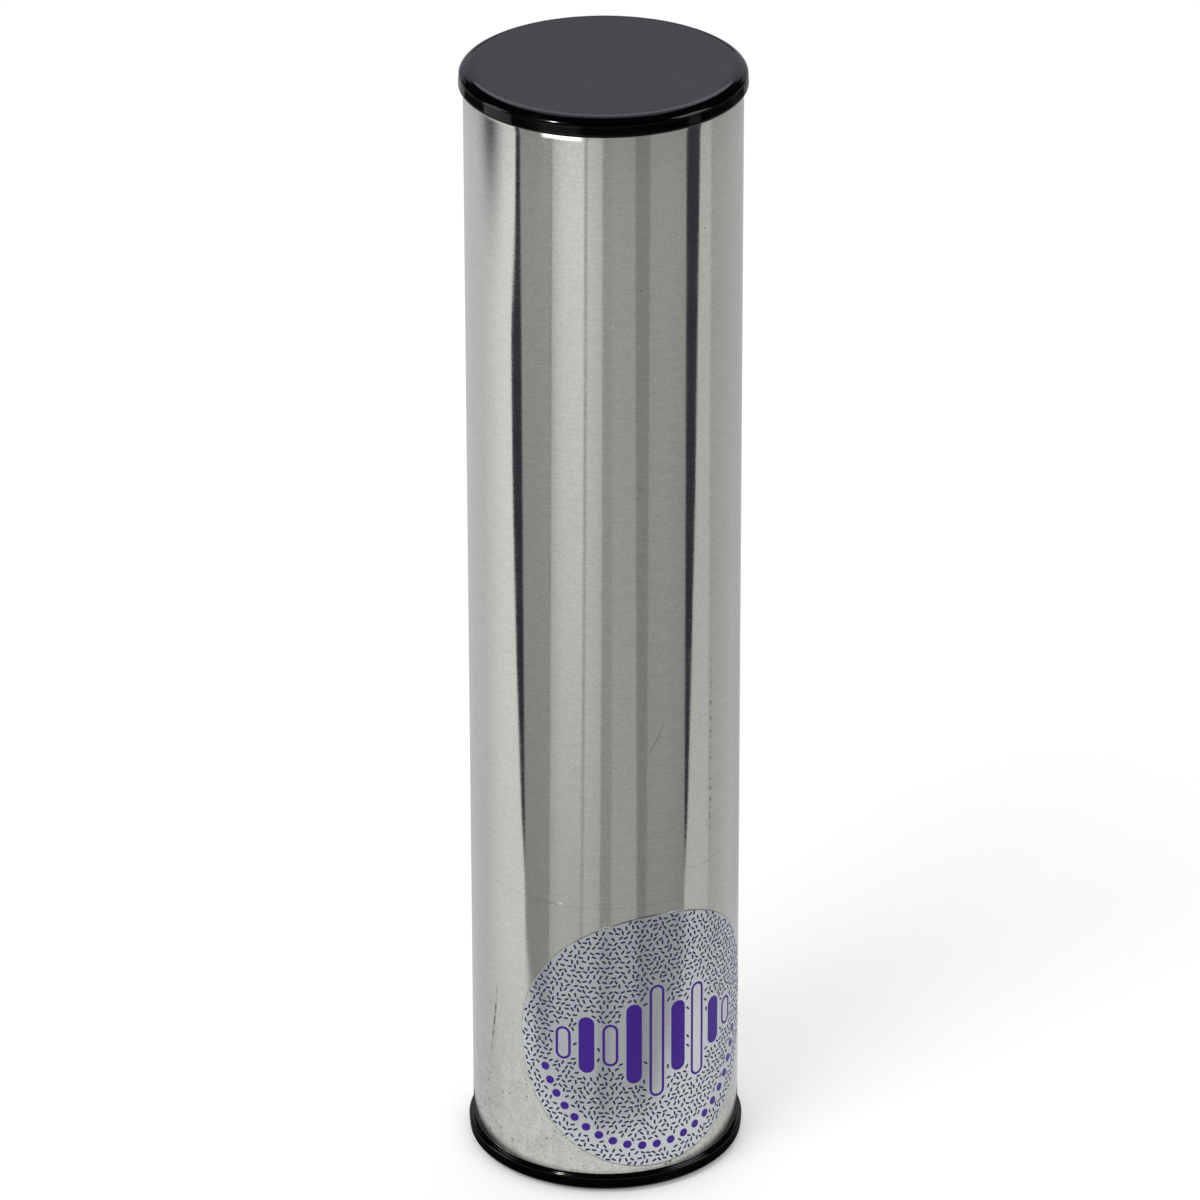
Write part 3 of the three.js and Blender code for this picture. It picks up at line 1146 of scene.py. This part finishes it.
def make_cap(name, node, upside_down):
    """The cap's outline turned, or mirrored to the top, where it is also read backwards."""
    outline = cap_outline()
    if upside_down:
        outline = np.stack([outline[::-1, 0], OVERALL_HEIGHT - outline[::-1, 1]], -1)
    cap = make_piece(name, *turned(outline, CAP_STEPS))
    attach(cap, "shell")
    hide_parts(node)
    return cap


bottom_cap = make_cap("moulded_bottom_cap", "bottom_cap", upside_down=False)
top_cap = make_cap("moulded_top_cap", "top_cap", upside_down=True)

# %% [markdown]
# ### Black moulded plastic
#
# The mould was polished at the rim and blasted on the face, so the rim is glossy and the face a
# soft satin that picks up the light of the room. Fine orange peel, handling marks and a rubbed
# edge keep it from looking like paint.

# %% The plastic
PLASTIC_COLOUR = (0.0008, 0.0008, 0.0010, 1)
PLASTIC_RUBBED = (0.030, 0.030, 0.032, 1)
RIM_ROUGHNESS = 0.09
FACE_ROUGHNESS = 0.22
SMEAR_ROUGHNESS = 0.06
PLASTIC_SPECULAR = 0.15
PLASTIC_NOISE = {
    "peel": (500.0, 500.0, 2.0), "grain": (5200.0, 5200.0, 2.0), "smears": (75.0, 75.0, 4.0)}
PLASTIC_RELIEF_DEPTH = 0.005 * MM
FACE_EDGE = (FLAT_RADIUS - 0.3 * MM, FLAT_RADIUS + 0.5 * MM)
RUBBED_IN = (FLAT_RADIUS + 1.5 * MM, FLAT_RADIUS + 2.5 * MM)
RUBBED_OUT = (CAP_RADIUS - 0.2 * MM, CAP_RADIUS)
FACE_SCUFF = (-5.9, -7.3, 5.0, 0.9, 0.0, 1.1)
PLASTIC_NICKS = (420.0, 0.10, 0.05)
RUBBED_WEAR, NICK_WEAR, SCUFF_WEAR, DUST_WEAR = 0.25, 0.5, 0.35, 0.16


def plastic_material():
    """Black, greyer by the sum of the rubbed edge, small worn pits, one scuff and a dusty face."""
    material, tree, shader = start_material("black_plastic")
    position = object_place(tree)
    parts = add_node(tree, "ShaderNodeSeparateXYZ", {0: position}).outputs
    flat = add_node(tree, "ShaderNodeCombineXYZ", {"X": parts["X"], "Y": parts["Y"]}).outputs[0]
    from_axis = add_node(tree, "ShaderNodeVectorMath", {0: flat}, operation="LENGTH").outputs["Value"]
    face = remap(tree, from_axis, *FACE_EDGE, 1.0, 0.0)
    noise = noises(tree, position, PLASTIC_NOISE)
    smears = noise["smears"]
    place = {
        "Arc": times(tree, parts["X"], MM_PER_M), "Height": times(tree, parts["Y"], MM_PER_M)}
    scuff = one_scratch(tree, place, FACE_SCUFF)

    edge = times(
        tree, remap(tree, from_axis, *RUBBED_IN), remap(tree, from_axis, *RUBBED_OUT, 1.0, 0.3))
    rubbed = times(tree, edge, remap(tree, smears, 0.5, 0.75))
    dusty = times(tree, face, remap(tree, smears, 0.42, 0.68, 0.0, DUST_WEAR))
    nicks_and_glints = pits(tree, position, *PLASTIC_NICKS)
    worn = weighted(tree, (rubbed, RUBBED_WEAR), (nicks_and_glints, NICK_WEAR), (scuff, SCUFF_WEAR))
    worn = plus(tree, worn, dusty, clamp=True)

    rough = weighted(
        tree, (face, FACE_ROUGHNESS - RIM_ROUGHNESS),
        (plus(tree, remap(tree, smears, 0.4, 0.7), scuff), SMEAR_ROUGHNESS))
    relief = weighted(tree, (noise["peel"], 0.5), (times(tree, noise["grain"], face), 0.15))
    finish_shader(
        tree, shader, blend_colours(tree, worn, PLASTIC_COLOUR, PLASTIC_RUBBED),
        plus(tree, rough, RIM_ROUGHNESS), relief, PLASTIC_RELIEF_DEPTH,
        Specular_IOR_Level=PLASTIC_SPECULAR)
    return material


plastic = plastic_material()
bottom_cap.data.materials.append(plastic)
top_cap.data.materials.append(plastic)

# %% [markdown]
# ## The label
#
# The label is die-cut flat and then wrapped, so it is made the same way. A thin disc is turned
# like the caps, lying flat with its thickness upwards. Then `wrapped` bends it: a distance
# across the flat disc becomes an arc of that length on the tube, and a height above the disc
# becomes a height above the metal.

# %% Wrap a flat disc round the tube
FILM_GLUE = 0.02 * MM
FILM_THICKNESS = 0.09 * MM
FILM_LOW_ROUND = 0.02 * MM
FILM_HIGH_ROUND = 0.04 * MM
FILM_EDGE_BAND = 0.3 * MM
FILM_RINGS = 30
FILM_STEPS = 192


def wrapped(flat_points):
    """Flat (across, up, lift) bent round the tube, facing -Y.

    The angle is across / tube radius and the distance from the axis is tube radius + lift, so
    the point is (distance sin angle, -distance cos angle, label centre + up).
    """
    across, up, lift = np.asarray(flat_points).T
    angle = across / TUBE_RADIUS
    distance = TUBE_RADIUS + lift
    return np.stack([distance * np.sin(angle), -distance * np.cos(angle), LABEL_CENTRE + up], -1)


def make_film():
    """A disc with rounded edges and rings close enough to bend, then wrapped."""
    top = FILM_GLUE + FILM_THICKNESS
    edge = rounded([
        (0, FILM_GLUE, 0),
        (LABEL_RADIUS, FILM_GLUE, FILM_LOW_ROUND),
        (LABEL_RADIUS, top, FILM_HIGH_ROUND),
        (0, top, 0),
    ], arc_points=4)
    inner = np.linspace(0, LABEL_RADIUS - FILM_EDGE_BAND, FILM_RINGS)[:, None]
    under = np.concatenate([inner, np.full_like(inner, FILM_GLUE)], axis=1)
    over = np.concatenate([inner[::-1], np.full_like(inner, top)], axis=1)
    points, faces = turned(np.concatenate([under, edge[1:-1], over]), FILM_STEPS)
    film = make_piece("label_film", wrapped(points), faces)
    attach(film, "shell")
    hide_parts("label")
    return film


film = make_film()

# %% The film's material
FILM_COLOUR = (0.68, 0.705, 0.72, 1)
FILM_EDGE = (0.16, 0.16, 0.18, 1)
FILM_NOISE = {"cloth": (420.0, 420.0, 3.0), "fine": (2600.0, 2600.0, 2.0)}
FILM_ROUGHNESS = 0.17
FILM_RELIEF_DEPTH = 0.006 * MM
CUT_EDGE = (LABEL_RADIUS * MM_PER_M - 0.28, LABEL_RADIUS * MM_PER_M - 0.05)


def film_material():
    """Silver film, darker at its cut edge: the distance from the middle is that on the flat disc."""
    material, tree, shader = start_material("silver_film")
    position = object_place(tree)
    noise = noises(tree, position, FILM_NOISE)
    shade = remap(tree, noise["fine"], 0.3, 0.7, 0.95, 1.04)
    place = group_node(tree, ROUND_PLACE, Position=position)
    up = calc(tree, "SUBTRACT", place["Height"], LABEL_CENTRE * MM_PER_M)
    squares = plus(tree, times(tree, place["Arc"], place["Arc"]), times(tree, up, up))
    cut = remap(tree, calc(tree, "SQRT", squares), *CUT_EDGE)
    # Darker towards the cut edge.
    edge_darkening = times(tree, cut, remap(tree, noise["cloth"], 0.3, 0.6, 0.35, 0.9))
    finish_shader(
        tree, shader, blend_colours(tree, edge_darkening, shaded(tree, FILM_COLOUR, shade), FILM_EDGE),
        plus(tree, times(tree, noise["cloth"], 0.06), FILM_ROUGHNESS), noise["cloth"],
        FILM_RELIEF_DEPTH, Metallic=0.92, Coat_Weight=0.35, Coat_Roughness=0.12)
    return material


film.data.materials.append(film_material())

# %% [markdown]
# ### The print
#
# The film is printed in violet: a confetti of short dashes all over it, a row of upright bars
# like a level meter across the middle, and an arc of dots. Each mark is a thin closed tablet
# that stands a hair above the film, so its edge stays crisp at any distance. A picture could
# hold the print too, but it would blur, and a tablet costs only a few dozen faces.
#
# Confetti looks even but never regular. So the dashes start on a triangular lattice, each is
# moved a little and turned at random, and those that come too close to a neighbour draw a new
# angle until they clear it. Those that would touch a bar or a dot are left out.

# %% Where the bars and dots go
BAR_WIDTH = 3.0 * MM
BAR_PITCH = 4.5 * MM
BAR_HEIGHTS = np.array([7, 12, 9, 17, 24, 15, 20, 10, 6]) * MM
BAR_LINE = 0.5 * MM
BAR_ACROSS = (np.arange(len(BAR_HEIGHTS)) - (len(BAR_HEIGHTS) - 1) / 2) * BAR_PITCH
DOT_COUNT = 21
DOT_RADIUS = 0.85 * MM
DOT_RING = 22.4 * MM
dot_turn = np.radians(np.linspace(-165, -15, DOT_COUNT))
DOT_PLACES = DOT_RING * circle(dot_turn)


def gap_to_marks(places):
    """The distance from flat points to the nearest bar or dot, below 0 inside one.

    A bar is the set of points within half its width of an upright segment, so the gap is the
    distance to that segment less the half width.
    """
    gaps = np.full(places.shape[:-1], np.inf)
    for across, height in zip(BAR_ACROSS, BAR_HEIGHTS):
        reach = height / 2 - BAR_WIDTH / 2
        up = np.abs(places[..., 1]) - reach
        off = np.hypot(places[..., 0] - across, np.maximum(up, 0))
        gaps = np.minimum(gaps, off - BAR_WIDTH / 2)
    off = np.linalg.norm(places[..., None, :] - DOT_PLACES, axis=-1).min(-1)
    return np.minimum(gaps, off - DOT_RADIUS)


# %% Scatter the confetti
DASH_LENGTH = 0.98 * MM
DASH_WIDTH = 0.38 * MM
DASH_PITCH = 1.20 * MM
DASH_SHIFT = 0.20 * MM
DASH_GAP = 0.13 * MM
MARK_GAP = 0.28 * MM
EDGE_GAP = 0.25 * MM
LATTICE_REACH = 34
DASH_SEED, DASH_REDRAWS = 7, 60
DASH_TONES = (0.55, 1)


def lattice(rng):
    """Places on a triangular lattice inside the label, each moved a little at random."""
    rows = np.arange(-LATTICE_REACH, LATTICE_REACH + 1)
    row, column = np.meshgrid(rows, rows, indexing="ij")
    across = (column + 0.5 * (row % 2)) * DASH_PITCH
    up = row * DASH_PITCH * np.sqrt(3) / 2
    places = np.stack([across.ravel(), up.ravel()], -1)
    places = places + rng.uniform(-DASH_SHIFT, DASH_SHIFT, places.shape)
    return places[np.linalg.norm(places, axis=1) < LABEL_RADIUS - EDGE_GAP]


def dash_samples(places, angles):
    """Five points along each dash."""
    along = np.linspace(-0.5, 0.5, 5) * (DASH_LENGTH - DASH_WIDTH)
    return places[:, None, :] + along[None, :, None] * circle(angles)[:, None, :]


def scatter_dashes():
    """Places and angles of the dashes, redrawn until none crowds another."""
    rng = np.random.default_rng(DASH_SEED)
    places = lattice(rng)
    angles = rng.uniform(0, np.pi, len(places))
    apart = np.linalg.norm(places[:, None] - places[None], axis=-1)
    first, second = np.nonzero(np.triu(apart < DASH_LENGTH + DASH_GAP, 1))
    crowded = np.zeros(0, int)
    for _ in range(DASH_REDRAWS):
        samples = dash_samples(places, angles)
        spacing = np.linalg.norm(samples[first][:, :, None] - samples[second][:, None], axis=-1)
        close = spacing.min((1, 2)) < DASH_WIDTH + DASH_GAP
        crowded = np.unique(second[close])
        if len(crowded) == 0:
            break
        angles[crowded] = rng.uniform(0, np.pi, len(crowded))
    samples = dash_samples(places, angles)
    clear = gap_to_marks(samples).min(1) > DASH_WIDTH / 2 + MARK_GAP
    inside = np.linalg.norm(samples, axis=-1).max(1) < LABEL_RADIUS - DASH_WIDTH / 2
    keep = clear & inside
    print("dashes:", int(keep.sum()), "still crowded:", len(crowded))
    return places[keep], angles[keep], rng.uniform(*DASH_TONES, int(keep.sum()))


dash_places, dash_angles, dash_tones = scatter_dashes()

# %% [markdown]
# Three kinds of tablet are enough. A `disc_tablets` call makes all the dashes, or all the dots,
# at once: one small outline, copied to every place and angle. A `ring_tablet` is the band
# between two outlines. A `column_tablet` fills a wide shape with narrow upright columns, so
# that it bends with the film.

# %% Tablets
INK_SUNK = 0.02 * MM
INK_RAISED = 0.025 * MM
INK_UNDER = FILM_GLUE + FILM_THICKNESS - INK_SUNK
INK_OVER = FILM_GLUE + FILM_THICKNESS + INK_RAISED


def pill(half_length, radius, points_per_end):
    """A pill outline along its first axis: half a circle round each end of a segment."""
    swing = np.linspace(-np.pi / 2, np.pi / 2, points_per_end)
    right = radius * circle(swing) + (half_length, 0)
    return np.concatenate([right, -right])


def disc_tablets(outline, places, angles):
    """Copies of an outline as closed tablets: place + outline turned by the angle.

    Each tablet is a ring of points under the film's surface, the same ring above it, a face
    on each and a wall of quads between them.
    """
    count, corners = len(places), len(outline)
    cosine, sine = np.cos(angles)[:, None], np.sin(angles)[:, None]
    x = places[:, :1] + cosine * outline[:, 0] - sine * outline[:, 1]
    y = places[:, 1:] + sine * outline[:, 0] + cosine * outline[:, 1]
    low = np.stack([x, y, np.full_like(x, INK_UNDER)], -1)
    high = np.stack([x, y, np.full_like(x, INK_OVER)], -1)
    points = np.concatenate([low, high], axis=1).reshape(-1, 3)
    start = np.arange(count)[:, None] * 2 * corners
    corner = np.arange(corners)
    tops = (start + corners + corner).tolist()
    floors = (start + corner[::-1]).tolist()
    walls = (start[:, :, None] + grid_faces(2, corners)).reshape(-1, 4).tolist()
    return points, tops + floors + walls


def ring_tablet(outer, inner):
    """The band between two outlines of as many points, as a closed tablet."""
    corners = len(outer)
    levels = [(outer, INK_UNDER), (outer, INK_OVER), (inner, INK_OVER), (inner, INK_UNDER)]
    points = np.concatenate([
        np.concatenate([outline, np.full((corners, 1), lift)], axis=1) for outline, lift in levels])
    return points, grid_faces(len(levels), corners, closed=True).tolist()


def column_tablet(across, low, high):
    """A shape filled with upright columns between low and high, as a closed tablet."""
    count = len(across)
    section = [(low, INK_UNDER), (high, INK_UNDER), (high, INK_OVER), (low, INK_OVER)]
    points = np.stack([
        np.stack([across, edge, np.full(count, lift)], -1) for edge, lift in section], axis=1)
    sides = grid_faces(count, len(section)).tolist()
    ends = [[0, 3, 2, 1], [4 * count - 4, 4 * count - 3, 4 * count - 2, 4 * count - 1]]
    return points.reshape(-1, 3), sides + ends


# %% Print the marks
BAR_COLUMNS = 12


def bar_tablets():
    """Bars that are outlined and bars that are solid, by turns."""
    made = []
    for index, (across, height) in enumerate(zip(BAR_ACROSS, BAR_HEIGHTS)):
        reach = height / 2 - BAR_WIDTH / 2
        if index % 2 == 0:
            outer = pill(reach, BAR_WIDTH / 2, 12)[:, ::-1] * (-1, 1) + (across, 0)
            inner = pill(reach, BAR_WIDTH / 2 - BAR_LINE, 12)[:, ::-1] * (-1, 1) + (across, 0)
            made.append(ring_tablet(outer, inner))
        else:
            swing = np.linspace(0, np.pi, BAR_COLUMNS + 1)
            offset = -BAR_WIDTH / 2 * np.cos(swing)
            half = reach + BAR_WIDTH / 2 * np.sin(swing)
            made.append(column_tablet(across + offset, -half, half))
    return made


def make_print():
    """All the tablets in one mesh, with a tone at each point for the ink's small changes."""
    no_turn = np.zeros(len(DOT_PLACES))
    dash = pill((DASH_LENGTH - DASH_WIDTH) / 2, DASH_WIDTH / 2, 4)
    dot = pill(0, DOT_RADIUS, 9)
    parts = [disc_tablets(dash, dash_places, dash_angles)]
    tones = [np.repeat(dash_tones, 2 * len(dash))]
    parts += [disc_tablets(dot, DOT_PLACES, no_turn)] + bar_tablets()
    tones += [np.zeros(len(points)) for points, _ in parts[1:]]
    points, faces = joined(parts)
    ink = make_piece("label_print", wrapped(points), faces, smooth=False)
    tone = ink.data.attributes.new("tone", "FLOAT", "POINT")
    tone.data.foreach_set("value", np.concatenate(tones).astype(np.float32))
    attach(ink, "shell")
    return ink


ink = make_print()

# %% The ink
INK_COLOUR = (0.062, 0.015, 0.30, 1)
INK_DARK = (0.018, 0.026, 0.062, 1)
INK_ROUGHNESS = 0.3


def ink_material():
    """Violet where the tone is 0 and nearly black where it is 1."""
    material, tree, shader = start_material("violet_ink")
    position = object_place(tree)
    tone = add_node(tree, "ShaderNodeAttribute", attribute_name="tone").outputs["Fac"]
    grain = noises(tree, position, {"grain": (3000.0, 3000.0, 2.0)})["grain"]
    mixed = plus(tree, tone, times(tree, grain, 0.10), clamp=True)
    finish_shader(
        tree, shader, blend_colours(tree, mixed, INK_COLOUR, INK_DARK),
        plus(tree, times(tree, grain, 0.1), INK_ROUGHNESS), Metallic=0.3, Specular_IOR_Level=0.3)
    return material


ink.data.materials.append(ink_material())

# %% [markdown]
# ## The shot
#
# Inside lies the shot, 55 steel balls piled on the lower cap. It shows only when the shaker is
# opened, but it is what makes the sound. Each ball is a grid of latitudes and longitudes that
# is moved to its place in the pile, and all of them are one mesh, because they travel together.

# %% Make the balls
SHOT_NODES = [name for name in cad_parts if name.startswith("shot_")]
BALL_RINGS = 12
BALL_STEPS = 24


def make_shot():
    """Half a circle, from its lowest point up, turned and copied to the middle of each box."""
    boxes = [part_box(name) for name in SHOT_NODES]
    centres = np.array([(low + high) / 2 for low, high in boxes])
    radius = (boxes[0][1].z - boxes[0][0].z) / 2
    half_circle = radius * circle(np.linspace(-np.pi / 2, np.pi / 2, BALL_RINGS + 1))
    ball, faces = turned(half_circle, BALL_STEPS)
    shot = make_piece("steel_shot", *joined([(ball + centre, faces) for centre in centres]))
    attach(shot, "shot")
    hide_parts(*SHOT_NODES)
    return shot


shot = make_shot()

# %% The steel
STEEL_COLOUR = (0.50, 0.505, 0.515, 1)
STEEL_PITTED = (0.22, 0.21, 0.20, 1)
STEEL_ROUGHNESS = 0.12
STEEL_PITS = (1200.0, 0.2, 0.25)
STEEL_RELIEF_DEPTH = 0.01 * MM


def steel_material():
    """Polished steel, darker in its pits, with scuffs that are rough and raised alike."""
    material, tree, shader = start_material("rolled_steel")
    position = object_place(tree)
    scuffs = noises(tree, position, {"scuffs": (900.0, 900.0, 3.0)})["scuffs"]
    pitted = pits(tree, position, *STEEL_PITS)
    finish_shader(
        tree, shader, blend_colours(tree, pitted, STEEL_COLOUR, STEEL_PITTED),
        plus(tree, times(tree, scuffs, 0.2), STEEL_ROUGHNESS), scuffs, STEEL_RELIEF_DEPTH,
        Metallic=1.0)
    return material


shot.data.materials.append(steel_material())
